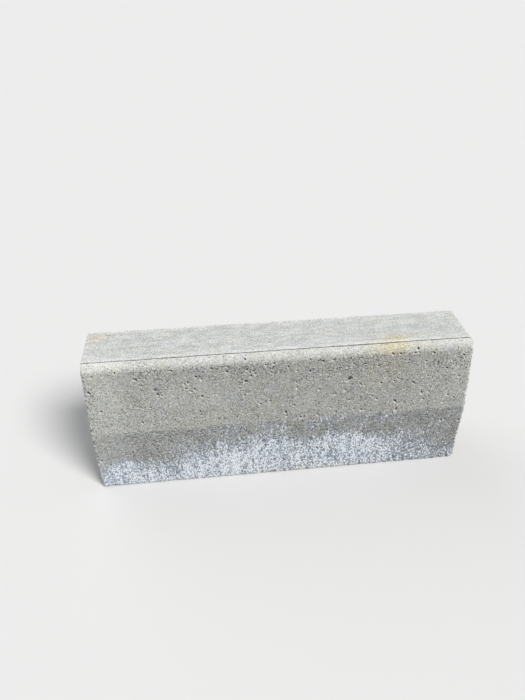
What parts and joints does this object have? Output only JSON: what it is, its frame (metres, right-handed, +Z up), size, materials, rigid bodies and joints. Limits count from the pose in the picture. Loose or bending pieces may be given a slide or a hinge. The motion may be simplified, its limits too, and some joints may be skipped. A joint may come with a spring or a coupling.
{
  "type": "concrete kerb stone",
  "caption": "Straight road kerb stone: a solid concrete bar with an upright foot, a battered road face, a rounded nose and a flat top.",
  "frame": {"origin": "middle of the base's bounding rectangle, on the bed it stands on", "axes": "+X along the kerb, +Y from the road face to the back, +Z up"},
  "size_m": [0.78, 0.15, 0.3],
  "materials": {
    "concrete": "pressed concrete, granular and open-pored on the road face, smoother and paler on the flat top"
  },
  "bodies": {
    "root": {"kerb_stone": "concrete"}
  },
  "joints": []
}
